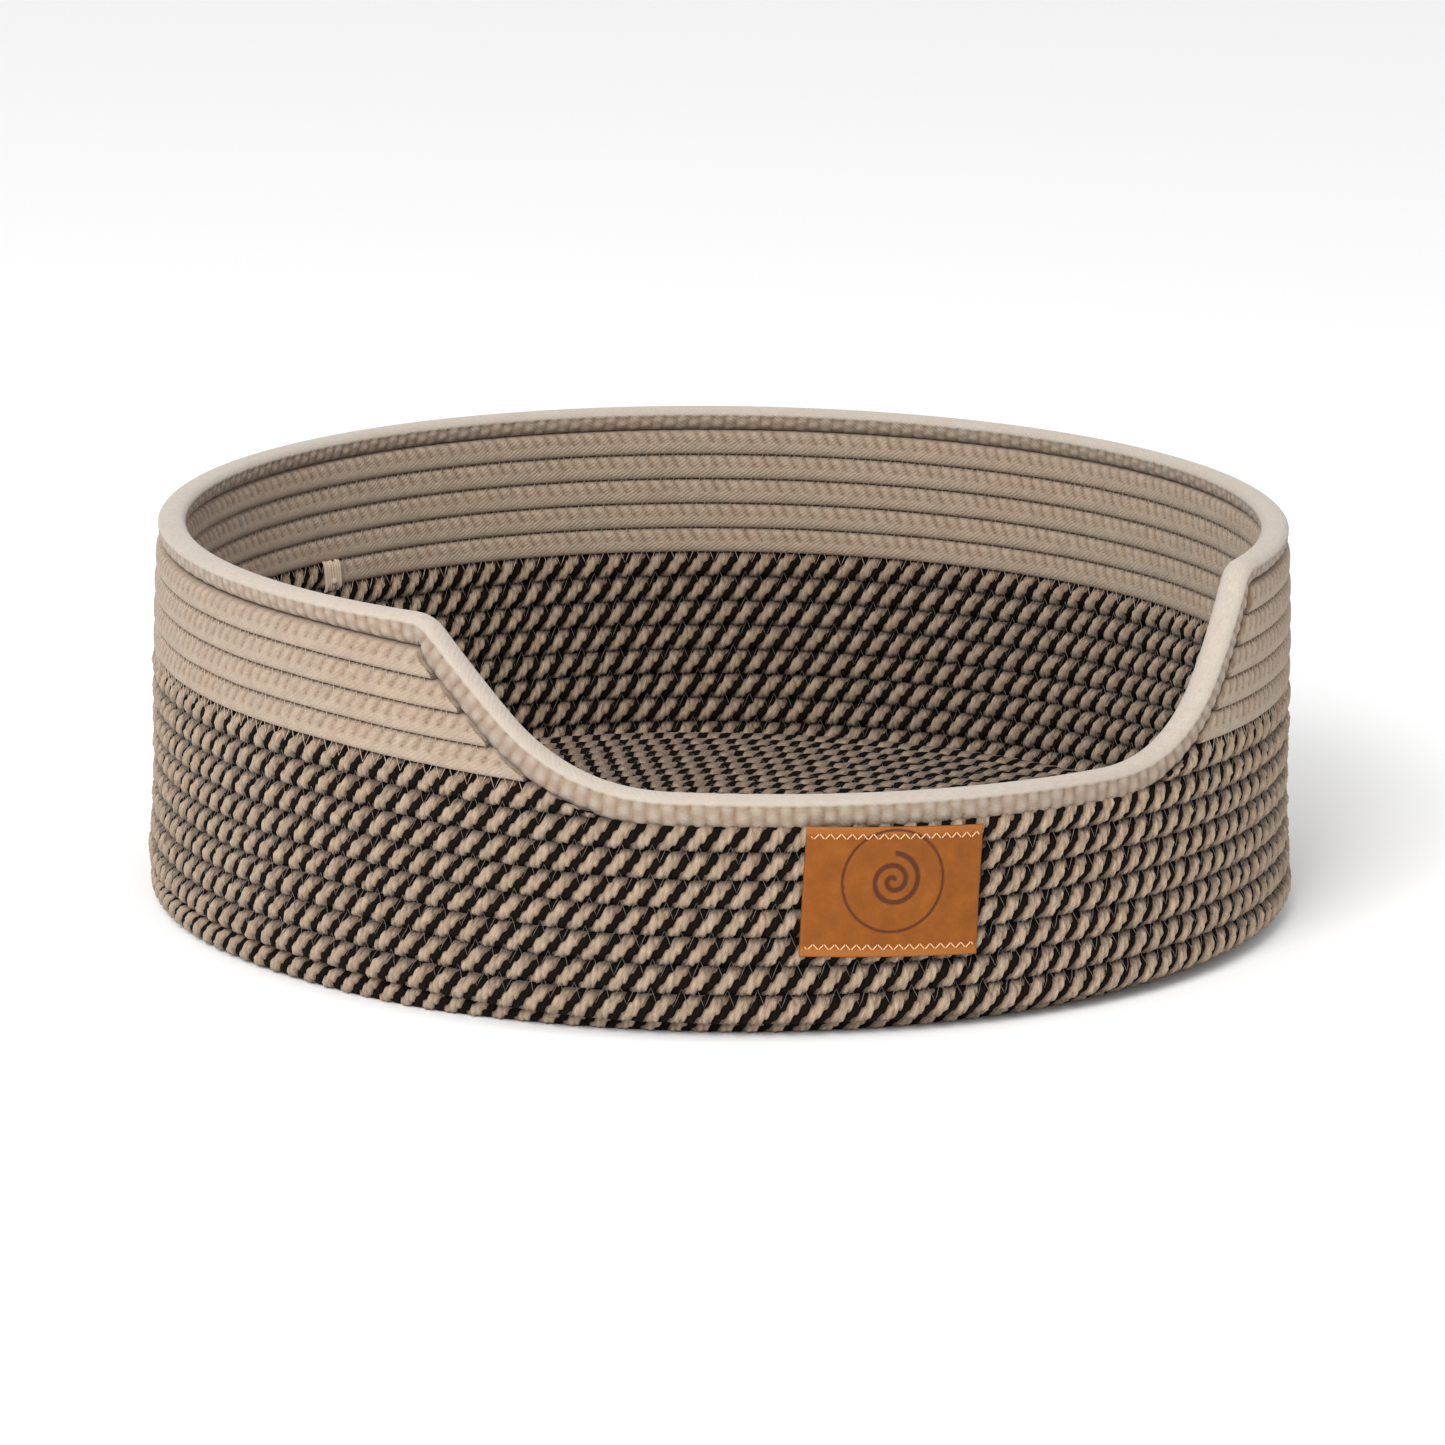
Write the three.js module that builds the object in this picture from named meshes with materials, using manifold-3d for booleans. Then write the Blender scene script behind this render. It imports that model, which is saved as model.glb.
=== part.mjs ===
// Low round pet bed, coiled and sewn from cotton rope, with a dipped entry in its front wall.
// Millimetres, +Z up, origin on the ground under the middle. The entry faces -Y.
//
// One two-tone rope winds out from the middle of the floor and climbs as the lower wall. A plain
// cream rope carries on above it from a splice at the back left. The entry cuts the upper turns,
// and a flattened rim rope binds the whole top edge, dip included. A leather label is sewn on below
// the dip. Turns are wound clockwise seen from above, and each is kept as a solid of its own.
//
// Directions round the bed are azimuths: 0 is the middle of the entry (-Y), 90 is +X.

import * as THREE from 'three';
import { mergeVertices } from 'three/addons/utils/BufferGeometryUtils.js';
import Module from 'manifold-3d';

// ---- driving dimensions ----
const pitch = 9.75;            // height of one sewn turn
const gap = 0.3;               // clearance kept between neighbouring pieces
const wallRadius = 204;        // outside of the straight middle of the wall
const flare = 3.3;             // extra outside radius where the wall meets the ground
const flareTop = 50;           // height at which that flare has gone
const flareCurve = 1.6;        // how sharply it fades, as a power
const tuck = 1.8;              // how far the top edge leans in
const tuckStart = 95;          // height from which it leans in
const tuckCurve = 1.5;
const firstEdge = 1.7;         // underside of the first wall turn where it leaves the floor

const spliceAzimuth = -148;    // where every turn starts, and where cream takes over from two-tone
const steepStart = 0.66;       // the rope climbs gently for this part of each turn, then steps up
const steepEnd = 0.77;
const steepShare = 0.48;       // share of the climb made in that step

const twoToneTurns = 8;        // wall turns of two-tone rope, the last one cut by the entry
const creamTurns = 5;          // turns of cream rope above the splice
const floorTurns = 19;         // turns of the flat floor coil inside its edge turn
const blendTurns = 12;         // floor turns over which the edge's uneven spiral becomes even

const ropeWidth = 10;          // radial width of a wall turn
const floorRopeWidth = 9;
const nestling = 4.5;          // how squarely the floor's edge turn tucks in beside the first wall turn
const edgeInset = 2;           // how far it stands in from the foot of the wall where it has come out
const slipInset = 6;           // and where the wall first lets it out
const slipStart = 0.74;        // share of the edge turn where it starts to come out
const slipEnd = 0.84;
const edgeOut = 0.92;          // from here it swings out to become the first wall turn
const floorRopeHeight = 8.9;
const ropeFlat = 5.6;          // width of the flat where one turn bears on the next
const stepsPerTurn = 30;
const endStep = 0.2;           // shortest first or last step of a stretch, as a share of a whole one
const innermost = 20;          // radius below which the gap between stretches stops widening

const rimWidth = 10.4;
const rimHeight = 8.2;
const rimLeftHeight = 132.3;   // middle of the rim rope at the entry's left top corner
const rimRightHeight = 135.2;  // and at its right top corner
const entryLeftHeight = 79.2;  // middle of the rim rope at the entry's lower corners
const entryRightHeight = 76.8;
const leftBottomAngle = 32.6;  // azimuths of the lower corners, to either side
const rightBottomAngle = 33;
const leftTopAngle = 47.9;     // and of the upper corners
const rightTopAngle = 46.8;
const lowerRounding = 34;      // length of rim taken up by the rounding at each lower corner
const upperRounding = 5;

const labelWidth = 61.5;
const labelHeight = 44.5;
const labelThickness = 1.5;
const labelAzimuth = -1.4;
const labelMiddle = 49.8;      // height of its middle
const labelTilt = 2.7;         // degrees, right side low
const stitchInset = 4;         // stitch line to the label's edge
const stitchThread = 0.6;
const stitchPitch = 3.9;
const stitchSwing = 1.6;

const spliceWidth = 14;        // patch of whipping stitches over the splice, inside the wall
const spliceHeight = 13;
const spliceThickness = 1.4;

// ---- finishes ----
const twoTone = new THREE.MeshStandardMaterial({ color: 0x7d6a55, roughness: 0.95, metalness: 0 });
const cream = new THREE.MeshStandardMaterial({ color: 0xd2bca5, roughness: 0.95, metalness: 0 });
const creamRim = new THREE.MeshStandardMaterial({ color: 0xe1d2c5, roughness: 0.9, metalness: 0 });
const leather = new THREE.MeshStandardMaterial({ color: 0xb97332, roughness: 0.6, metalness: 0 });
const thread = new THREE.MeshStandardMaterial({ color: 0xe9dcc8, roughness: 0.8, metalness: 0 });

const bed = new THREE.Group();
const rad = THREE.MathUtils.degToRad;
const clamp01 = (value) => THREE.MathUtils.clamp(value, 0, 1);
const smoothstep = THREE.MathUtils.smoothstep;

function addPiece(name, geometry, material) {
  const mesh = new THREE.Mesh(geometry, material);
  mesh.name = name;
  bed.add(mesh);
}

// ---- the wall's round shape ----
const outerRadius = (z) =>
  wallRadius
  + flare * clamp01((flareTop - z) / flareTop) ** flareCurve
  - tuck * clamp01((z - tuckStart) / (rimRightHeight - tuckStart)) ** tuckCurve;

const onRound = (azimuth, radius, z) =>
  new THREE.Vector3(radius * Math.sin(azimuth), -radius * Math.cos(azimuth), z);

// ---- how the rope winds: turns are counted from the splice, clockwise ----
const azimuthAt = (turns) => rad(spliceAzimuth - 360 * turns);
const climb = (part) =>
  (1 - steepShare) * part + steepShare * smoothstep(part, steepStart, steepEnd);

// height of a wall turn's underside; whole turns count the rows below it
function undersideAt(turns) {
  const row = Math.floor(turns);
  return firstEdge + pitch * (row + climb(turns - row));
}

// the floor's edge turn slips under the first wall turn as that one climbs away
function edgeTurn(part) {
  const rise = firstEdge + pitch * climb(part);
  const lift = Math.max(0, rise - pitch);
  const beside = pitch * clamp01(1 - ((rise - lift) / pitch) ** nestling) ** (1 / nestling);
  const slip = slipInset - (slipInset - edgeInset) * smoothstep(part, slipStart, slipEnd);
  const inset = Math.max(beside, slip * (1 - smoothstep(part, edgeOut, 1)));
  return { radius: outerRadius(0) - ropeWidth / 2 - inset, z: floorRopeHeight / 2 + lift };
}

function ropePoint(turns) {
  if (turns >= 0) {
    const z = undersideAt(turns) + pitch / 2;
    return onRound(azimuthAt(turns), outerRadius(z) - ropeWidth / 2, z);
  }
  const ring = Math.ceil(-turns) - 1;                // 0 is the edge turn
  const part = turns + ring + 1;
  const edge = edgeTurn(part);
  if (ring === 0) return onRound(azimuthAt(turns), edge.radius, edge.z);
  const start = edgeTurn(0).radius;
  const even = clamp01(ring / blendTurns);
  const growth = (1 - even) * (edge.radius - start) + even * pitch * part;
  return onRound(azimuthAt(turns), start - pitch * ring + growth, floorRopeHeight / 2);
}

// ---- ropes: a section carried along a path, kept upright and square to the wall ----
class SewnPath extends THREE.Curve {
  constructor(pointAt) {
    super();
    this.pointAt = pointAt;
  }

  getPoint(t) {
    return this.pointAt(t);
  }

  getSpacedPoints(divisions) {
    return this.getPoints(divisions);
  }

  // the section stands in the wall's radial plane, so turns meet squarely end to end
  computeFrenetFrames(segments) {
    const points = this.getPoints(segments);
    const outward = points.map((point) => new THREE.Vector3(point.x, point.y, 0).normalize());
    const tangents = points.map((point, i) =>
      points[Math.min(i + 1, segments)].clone().sub(points[Math.max(i - 1, 0)])
        .projectOnPlane(outward[i]).normalize());
    const across = tangents.map((tangent, i) => tangent.clone().cross(outward[i]));
    return { tangents, normals: outward, binormals: across };
  }
}

// six-sided section: flat above and below where turns bear on each other, ridged in and out
function ropeSection(width, height) {
  const [w, h, f] = [width / 2, height / 2, ropeFlat / 2];
  return new THREE.Shape([
    new THREE.Vector2(w, 0), new THREE.Vector2(f, h), new THREE.Vector2(-f, h),
    new THREE.Vector2(-w, 0), new THREE.Vector2(-f, -h), new THREE.Vector2(f, -h),
  ]);
}

// a stretch of rope between two counts of turns, its stations shared with the turns beside it
function ropeStretch(from, to, width = ropeWidth, height = pitch - gap) {
  const endGap = gap / 2 / (2 * Math.PI * Math.max(ropePoint(from).setZ(0).length(), innermost));
  const stations = [from + endGap];
  const firstStep = Math.floor(from * stepsPerTurn + endStep) + 1;
  for (let i = firstStep; i < to * stepsPerTurn - endStep; i++) {
    stations.push(i / stepsPerTurn);
  }
  stations.push(to - endGap);
  const last = stations.length - 1;
  const path = new SewnPath((t) => ropePoint(stations[Math.round(t * last)]));
  const section = ropeSection(width, height);
  return new THREE.ExtrudeGeometry(section, { steps: last, extrudePath: path });
}

// ---- the top edge: the rim's middle line, unrolled as distance along the wall and height ----
const rimRadiusAt = (z) => outerRadius(z) - rimWidth / 2;
const rimUnroll = rimRadiusAt(rimLeftHeight);
const along = (azimuthDegrees) => rad(azimuthDegrees) * rimUnroll;
const rimTurn = 360 - leftTopAngle - rightTopAngle;
const leftShare = (-leftTopAngle - spliceAzimuth) / rimTurn;
const rimSpliceHeight = rimLeftHeight + (rimRightHeight - rimLeftHeight) * leftShare;

const corners = [
  { x: along(spliceAzimuth), y: rimSpliceHeight },
  { x: along(-leftTopAngle), y: rimLeftHeight, rounding: upperRounding },
  { x: along(-leftBottomAngle), y: entryLeftHeight, rounding: lowerRounding },
  { x: along(rightBottomAngle), y: entryRightHeight, rounding: lowerRounding },
  { x: along(rightTopAngle), y: rimRightHeight, rounding: upperRounding },
  { x: along(spliceAzimuth + 360), y: rimSpliceHeight },
].map(({ x, y, rounding }) => ({ point: new THREE.Vector2(x, y), rounding }));

const rimLine = new THREE.Path().moveTo(corners[0].point.x, corners[0].point.y);
for (let i = 1; i < corners.length - 1; i++) {
  const { point, rounding } = corners[i];
  const towards = (other) =>
    other.clone().sub(point).normalize().multiplyScalar(rounding).add(point);
  const into = towards(corners[i - 1].point);
  const outOf = towards(corners[i + 1].point);
  rimLine.lineTo(into.x, into.y);
  rimLine.quadraticCurveTo(point.x, point.y, outOf.x, outOf.y);
}
rimLine.lineTo(corners[5].point.x, corners[5].point.y);

// stations along the rim: close together round the rounded corners
const rimStep = 14;
const roundingSteps = 5;
const rimStations = rimLine.curves.flatMap((curve, i) => {
  const steps = curve.isLineCurve ? Math.ceil(curve.getLength() / rimStep) : roundingSteps;
  return curve.getPoints(steps).slice(i === 0 ? 0 : 1);
});

// ---- the space above the rim's underside, taken out of the turns that the entry cuts ----
const cutReach = 60;                                  // azimuth covered to each side of the entry
const belowRim = (offset) => rimStations.map((point, i) => {
  const before = rimStations[Math.max(i - 1, 0)];
  const after = rimStations[Math.min(i + 1, rimStations.length - 1)];
  const tangent = after.clone().sub(before).normalize();
  return new THREE.Vector2(point.x + tangent.y * offset, point.y - tangent.x * offset);
});
const underRim = belowRim(rimHeight / 2 + 2 * gap).filter(
  (point) => Math.abs(point.x) <= along(cutReach));

// height of an unrolled line at a distance along the wall
function heightOn(line, x) {
  const after = Math.max(line.findIndex((point) => point.x >= x), 1);
  const [a, b] = [line[after - 1], line[after]];
  return a.y + (b.y - a.y) * (x - a.x) / (b.x - a.x);
}

// a box bent round the wall; place() gives each corner's azimuth, radius and height
function bentBox(columns, rows, place) {
  const box = new THREE.BoxGeometry(1, 1, 1, columns, 1, rows);
  const spots = box.attributes.position;
  for (let i = 0; i < spots.count; i++) {
    const { azimuth, radius, z } = place(
      spots.getX(i) + 0.5, spots.getY(i) + 0.5, spots.getZ(i) + 0.5);
    const spot = onRound(azimuth, radius, z);
    spots.setXYZ(i, spot.x, spot.y, spot.z);
  }
  box.computeVertexNormals();
  return box;
}

const cutInner = 170;
const cutOuter = 230;
const cutTop = 190;
const cutColumns = underRim.length - 1;
const entrySpace = bentBox(cutColumns, 1, (across, through, up) => {
  const point = underRim[Math.round(across * cutColumns)];
  return {
    azimuth: point.x / rimUnroll,
    radius: cutInner + (cutOuter - cutInner) * (1 - through),
    z: up > 0.5 ? cutTop : point.y,
  };
});

// ---- cutting, on solids with merged vertices ----
const wasm = await Module();
wasm.setup();

function toSolid(geometry) {
  const bare = geometry.clone();
  bare.deleteAttribute('normal');
  bare.deleteAttribute('uv');
  const merged = mergeVertices(bare);
  return new wasm.Manifold(new wasm.Mesh({
    numProp: 3,
    vertProperties: new Float32Array(merged.attributes.position.array),
    triVerts: new Uint32Array(merged.index.array),
  }));
}

function toGeometry(solid) {
  const { vertProperties, triVerts } = solid.getMesh();
  const geometry = new THREE.BufferGeometry();
  geometry.setAttribute('position', new THREE.BufferAttribute(vertProperties, 3));
  geometry.setIndex(new THREE.BufferAttribute(triVerts, 1));
  const faceted = geometry.toNonIndexed();
  faceted.computeVertexNormals();
  return faceted;
}

const entrySolid = toSolid(entrySpace);
const cutByEntry = (geometry) => toGeometry(toSolid(geometry).subtract(entrySolid));

// where a turn that starts `row` rows up meets the rim, as a part of the turn, on either side
const thinnest = 1.6;          // a turn stops where less than this is left under the rim
const searchMargin = 5;        // degrees outside the entry where the search begins
const searchStep = 0.1;
const partAt = (azimuthDegrees) =>
  THREE.MathUtils.euclideanModulo(spliceAzimuth - azimuthDegrees, 360) / 360;
function entryEnd(row, side) {
  let azimuth = side * (leftTopAngle + searchMargin);
  while (heightOn(underRim, along(azimuth)) - undersideAt(row + partAt(azimuth)) > thinnest) {
    azimuth -= side * searchStep;
  }
  return partAt(azimuth);
}

// ---- floor and lower wall ----
const floorStretch = (from, to) => ropeStretch(from, to, floorRopeWidth, floorRopeHeight);
addPiece('floor_coil', floorStretch(-1 - floorTurns, -1), twoTone);
addPiece('floor_edge_turn', floorStretch(-1, 0), twoTone);
const topRow = twoToneTurns - 1;
for (let row = 0; row < topRow; row++) {
  addPiece(`two_tone_turn_${row + 1}`, ropeStretch(row, row + 1), twoTone);
}
const twoToneRight = ropeStretch(topRow, topRow + entryEnd(topRow, 1));
const twoToneLeft = ropeStretch(topRow + entryEnd(topRow, -1), topRow + 1);
addPiece(`two_tone_turn_${twoToneTurns}_right`, cutByEntry(twoToneRight), twoTone);
addPiece(`two_tone_turn_${twoToneTurns}_left`, cutByEntry(twoToneLeft), twoTone);

// ---- cream courses: the first starts at the splice, the others at the entry's left side ----
for (let course = 0; course < creamTurns; course++) {
  const row = twoToneTurns + course;
  const start = course === 0 ? row : row - 1 + entryEnd(row - 1, -1);
  const stretch = ropeStretch(start, row + entryEnd(row, 1));
  addPiece(`cream_course_${course + 1}`, cutByEntry(stretch), cream);
}

// ---- rim rope ----
const rimSides = 8;
const rimSteps = rimStations.length - 1;
rimStations[0].x += gap / 2;
rimStations[rimSteps].x -= gap / 2;
const rimPath = new SewnPath((t) => {
  const point = rimStations[Math.round(t * rimSteps)];
  return onRound(point.x / rimUnroll, rimRadiusAt(point.y), point.y);
});
const rimSection = new THREE.Shape(
  new THREE.EllipseCurve(0, 0, rimWidth / 2, rimHeight / 2).getPoints(rimSides).slice(0, rimSides));
const rim = new THREE.ExtrudeGeometry(rimSection, { steps: rimSteps, extrudePath: rimPath });

// the binding is drawn down on to the courses where they drop away under it
const rimFoot = belowRim(rimHeight / 2 + gap);
const lastRow = twoToneTurns + creamTurns - 1;
function courseTopAt(azimuthDegrees) {
  const part = partAt(azimuthDegrees);
  const row = part < partAt(0) ? lastRow : lastRow - 1;
  return undersideAt(row + part) + pitch;
}
const rimSpots = rim.attributes.position;
for (let i = 0; i < rimSpots.count; i++) {
  const azimuth = THREE.MathUtils.radToDeg(Math.atan2(rimSpots.getX(i), -rimSpots.getY(i)));
  const onward = azimuth < spliceAzimuth ? azimuth + 360 : azimuth;
  const slack = Math.max(0, heightOn(rimFoot, along(onward)) - courseTopAt(azimuth));
  const depth = heightOn(rimStations, along(onward)) - rimSpots.getZ(i);
  rimSpots.setZ(i, rimSpots.getZ(i) - slack * clamp01(depth / (rimHeight / 2)));
}
addPiece('rim_rope', rim, creamRim);

// ---- label and its two rows of stitches ----
// a point on the label's face: x to the right and y up from its middle, turned by its tilt
function onLabel(x, y, lift) {
  const [cos, sin] = [Math.cos(rad(labelTilt)), Math.sin(rad(labelTilt))];
  const z = labelMiddle + y * cos - x * sin;
  const radius = outerRadius(z) + gap + lift;
  return { azimuth: rad(labelAzimuth) + (x * cos + y * sin) / wallRadius, radius, z };
}
const labelColumns = 12;
const labelRows = 3;
const label = bentBox(labelColumns, labelRows, (across, through, up) =>
  onLabel((across - 0.5) * labelWidth, (up - 0.5) * labelHeight, (1 - through) * labelThickness));
addPiece('label_patch', label, leather);

function stitchRow(y) {
  const length = labelWidth - 2 * stitchInset;
  const count = 2 * Math.round(length / stitchPitch);
  const path = new SewnPath((t) => {
    const swing = (Math.round(t * count) % 2 ? 1 : -1) * stitchSwing / 2;
    const lift = labelThickness + gap + stitchThread / 2;
    const { azimuth, radius, z } = onLabel((t - 0.5) * length, y + swing, lift);
    return onRound(azimuth, radius, z);
  });
  const half = stitchThread / 2;
  const section = new THREE.Shape([
    new THREE.Vector2(half, half), new THREE.Vector2(-half, half),
    new THREE.Vector2(-half, -half), new THREE.Vector2(half, -half),
  ]);
  return new THREE.ExtrudeGeometry(section, { steps: count, extrudePath: path });
}
addPiece('label_stitches_top', stitchRow(labelHeight / 2 - stitchInset), thread);
addPiece('label_stitches_bottom', stitchRow(stitchInset - labelHeight / 2), thread);

// ---- whipping over the splice, on the inside of the wall ----
const spliceHeightAt = undersideAt(twoToneTurns) + pitch / 2;
const spliceRadius = outerRadius(spliceHeightAt) - ropeWidth - 2 * gap;
const spliceColumns = 3;
const splice = bentBox(spliceColumns, 1, (across, through, up) => ({
  azimuth: rad(spliceAzimuth) + (across - 0.5) * spliceWidth / spliceRadius,
  radius: spliceRadius - through * spliceThickness,
  z: spliceHeightAt + (up - 0.5) * spliceHeight,
}));
addPiece('splice_whipping', splice, thread);

export default bed;
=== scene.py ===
import math

import bmesh
import bpy
import numpy as np
from mathutils import Matrix, Vector


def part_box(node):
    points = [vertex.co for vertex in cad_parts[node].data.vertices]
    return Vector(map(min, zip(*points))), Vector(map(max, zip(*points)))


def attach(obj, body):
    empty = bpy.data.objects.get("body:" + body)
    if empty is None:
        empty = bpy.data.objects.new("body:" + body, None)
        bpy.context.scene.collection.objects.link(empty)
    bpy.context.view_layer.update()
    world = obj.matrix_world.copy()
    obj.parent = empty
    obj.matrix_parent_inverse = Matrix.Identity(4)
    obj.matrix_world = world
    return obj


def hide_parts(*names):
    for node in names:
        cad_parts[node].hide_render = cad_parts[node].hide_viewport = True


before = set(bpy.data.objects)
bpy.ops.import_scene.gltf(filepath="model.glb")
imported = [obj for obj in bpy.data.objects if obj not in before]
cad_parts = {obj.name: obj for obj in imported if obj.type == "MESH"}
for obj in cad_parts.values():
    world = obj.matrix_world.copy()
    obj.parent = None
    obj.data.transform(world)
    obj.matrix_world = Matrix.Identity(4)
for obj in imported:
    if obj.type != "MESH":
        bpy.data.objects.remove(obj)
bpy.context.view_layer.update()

# Coiled rope pet bed. Metres, the entry faces -Y. Directions round the bed are azimuths in
# degrees: 0 is the middle of the entry, 90 is +X. Every rope is a straight strip of faces that
# is rolled up and laid along the coil, so its surface map runs along and round the rope.

firstTurn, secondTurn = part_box("two_tone_turn_1"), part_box("two_tone_turn_2")
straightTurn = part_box("two_tone_turn_7")

coil = {
    "pitch": secondTurn[0].z - firstTurn[0].z,
    "wallRadius": (straightTurn[1].x - straightTurn[0].x) / 2,
    "flare": 0.0033,           # extra outside radius at the ground
    "flareTop": 0.05,
    "flareCurve": 1.6,
    "tuck": 0.0018,            # how far the top edge leans in
    "tuckStart": 0.095,
    "tuckCurve": 1.5,
    "firstEdge": 0.0017,       # underside of the first wall turn where it leaves the floor
    "spliceAzimuth": -148,     # where each turn starts, and where cream takes over
    "steepStart": 0.66,        # share of a turn where the rope starts its step up
    "steepEnd": 0.77,
    "steepShare": 0.48,
    "twoToneTurns": 8,
    "creamTurns": 5,
    "floorTurns": 19,
    "blendTurns": 12,          # floor turns over which the uneven edge becomes an even spiral
    "curledTurns": 1.6,        # turns at the floor's middle beyond the even ones
    "ropeWidth": 0.01,
    "girth": 0.031,            # way round the rope, for its surface map
    "floorRopeHeight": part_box("floor_coil")[1].z,
    "nestling": 2.1,           # how squarely the floor's edge turn fits beside the wall, 2 for round
    "edgeInset": 0.002,        # how far it stands in from the foot of the wall once it is out
    "slipInset": 0.006,        # and where the wall first lets it out
    "slipStart": 0.74,
    "slipEnd": 0.84,
    "edgeOut": 0.92,
}
rim = {
    "width": 0.0104,
    "height": 0.0082,
    "leftHeight": 0.1323,      # middle of the rim at the entry's upper corners
    "rightHeight": 0.1352,
    "entryLeftHeight": 0.0792,     # and at its lower corners
    "entryRightHeight": 0.0768,
    "leftBottomAngle": 32.6,
    "rightBottomAngle": 33,
    "leftTopAngle": 47.9,
    "rightTopAngle": 46.8,
    "lowerRounding": 0.034,    # how far the rounding reaches to either side of a corner
    "upperRounding": 0.005,
    "binding": 0.0034,         # how much further down it is bound along the entry
    "fadeStart": 0.0008,       # drop below an upper corner over which that binding comes in
    "fadeEnd": 0.006,
    "overlap": 0.0008,         # how far cut turns reach up into it
    "squareness": 2.4,
    "girth": 0.03,
    "step": 0.0009,            # spacing of its stations
}


def clamp01(value):
    return np.clip(value, 0.0, 1.0)


def smoothStep(low, high, value):
    x = clamp01((value - low) / (high - low))
    return x * x * (3 - 2 * x)


def drift(x, seed):  # slow, repeatable wandering between about -1 and 1, period about 6
    a, b, c = 0.9 + 0.13 * math.sin(seed * 3.7), 1.7 + 0.2 * math.sin(seed * 1.3), 2.9
    waves = np.sin(a * x + seed * 2.1) + 0.6 * np.sin(b * x + seed * 5.3)
    return (waves + 0.4 * np.sin(c * x + seed * 0.7)) / 2


def outerRadius(z):
    foot = coil["flare"] * clamp01((coil["flareTop"] - z) / coil["flareTop"]) ** coil["flareCurve"]
    lean = clamp01((z - coil["tuckStart"]) / (rim["rightHeight"] - coil["tuckStart"]))
    return coil["wallRadius"] + foot - coil["tuck"] * lean ** coil["tuckCurve"]


def azimuthAt(turns):
    return np.radians(coil["spliceAzimuth"] - 360 * turns)


def climb(part):
    gentle = 1 - coil["steepShare"]
    return gentle * part + coil["steepShare"] * smoothStep(coil["steepStart"], coil["steepEnd"], part)


def undersideAt(turns):
    row = np.floor(turns)
    return coil["firstEdge"] + coil["pitch"] * (row + climb(turns - row))


# the floor's last ring slips out under the first wall turn as that one climbs away
def edgeTurn(part):
    pitch, power = coil["pitch"], coil["nestling"]
    rise = coil["firstEdge"] + pitch * climb(part)
    lift = np.maximum(0, rise - pitch)
    beside = pitch * clamp01(1 - ((rise - lift) / pitch) ** power) ** (1 / power)
    slip = coil["slipInset"] - (coil["slipInset"] - coil["edgeInset"]) * smoothStep(
        coil["slipStart"], coil["slipEnd"], part)
    inset = np.maximum(beside, slip * (1 - smoothStep(coil["edgeOut"], 1, part)))
    return outerRadius(0) - coil["ropeWidth"] / 2 - inset, coil["floorRopeHeight"] / 2 + lift


# radius and height of the rope's middle, by turns counted from the splice
def ropeMiddle(turns):
    turns = np.asarray(turns, float)
    wallHeight = undersideAt(turns) + coil["pitch"] / 2
    ring = np.ceil(-turns - 1e-9) - 1
    part = turns + ring + 1
    edgeRadius, edgeHeight = edgeTurn(part)
    start = edgeTurn(0.0)[0]
    even = clamp01(ring / coil["blendTurns"])
    growth = (1 - even) * (edgeRadius - start) + even * coil["pitch"] * part
    floorRadius = np.where(ring < 1, edgeRadius, start - coil["pitch"] * ring + growth)
    floorHeight = np.where(ring < 1, edgeHeight, coil["floorRopeHeight"] / 2)
    onWall = turns >= 0
    radius = np.where(onWall, outerRadius(wallHeight) - coil["ropeWidth"] / 2, floorRadius)
    return radius, np.where(onWall, wallHeight, floorHeight)


def onRound(azimuth, radius, z):
    return np.stack([radius * np.sin(azimuth), -radius * np.cos(azimuth), z + 0 * azimuth], -1)


def unit(vectors):
    return vectors / np.linalg.norm(vectors, axis=-1, keepdims=True)


# middle points, outward and upward directions of a path; outward stays level and square to the wall
def pathFrames(azimuth, radius, z, clockwise):
    middle = onRound(azimuth, radius, z)
    outward = onRound(azimuth, np.ones_like(azimuth), 0)
    tangent = np.gradient(middle, axis=0)
    up = np.cross(tangent, outward) * (1 if clockwise else -1)
    return middle, outward, unit(up)


# length along the whole rope, so that its lay runs on from piece to piece
innerEnd = -coil["curledTurns"] - coil["floorTurns"]
beyondTop = coil["twoToneTurns"] + coil["creamTurns"] + 1.5
turnTable = np.linspace(innerEnd, beyondTop, 64000)
tableRadius, tableHeight = ropeMiddle(turnTable)
tablePoints = onRound(azimuthAt(turnTable), tableRadius, tableHeight)
tableSteps = np.linalg.norm(np.diff(tablePoints, axis=0), axis=1)
lengthTable = np.concatenate([[0], np.cumsum(tableSteps)])


def lengthAt(turns):
    return np.interp(turns, turnTable, lengthTable)


def stationsBetween(start, end, step):
    low, high = lengthAt(start), lengthAt(end)
    count = max(2, round((high - low) / step))
    lengths = np.linspace(low, high, count + 1)
    return np.interp(lengths, lengthTable, turnTable), lengths


# the rim's middle line, unrolled to distance along the wall and height
rimUnroll = outerRadius(rim["leftHeight"]) - rim["width"] / 2


def along(azimuthDegrees):
    return math.radians(azimuthDegrees) * rimUnroll


# a line through the corners, each one rounded, as evenly spaced points and their lengths along
def roundedLine(corners, step):
    points = [corners[0][0]]
    for (before, _), (corner, rounding), (after, _) in zip(corners, corners[1:], corners[2:]):
        into = corner + rounding * unit(before - corner)
        outOf = corner + rounding * unit(after - corner)
        for t in np.linspace(0, 1, 24):
            points.append((1 - t) ** 2 * into + 2 * t * (1 - t) * corner + t * t * outOf)
    points = np.array(points + [corners[-1][0]])
    lengths = np.concatenate([[0], np.cumsum(np.linalg.norm(np.diff(points, axis=0), axis=1))])
    even = np.linspace(0, lengths[-1], round(lengths[-1] / step) + 1)
    return even, np.stack([np.interp(even, lengths, points[:, k]) for k in (0, 1)], -1)


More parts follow.
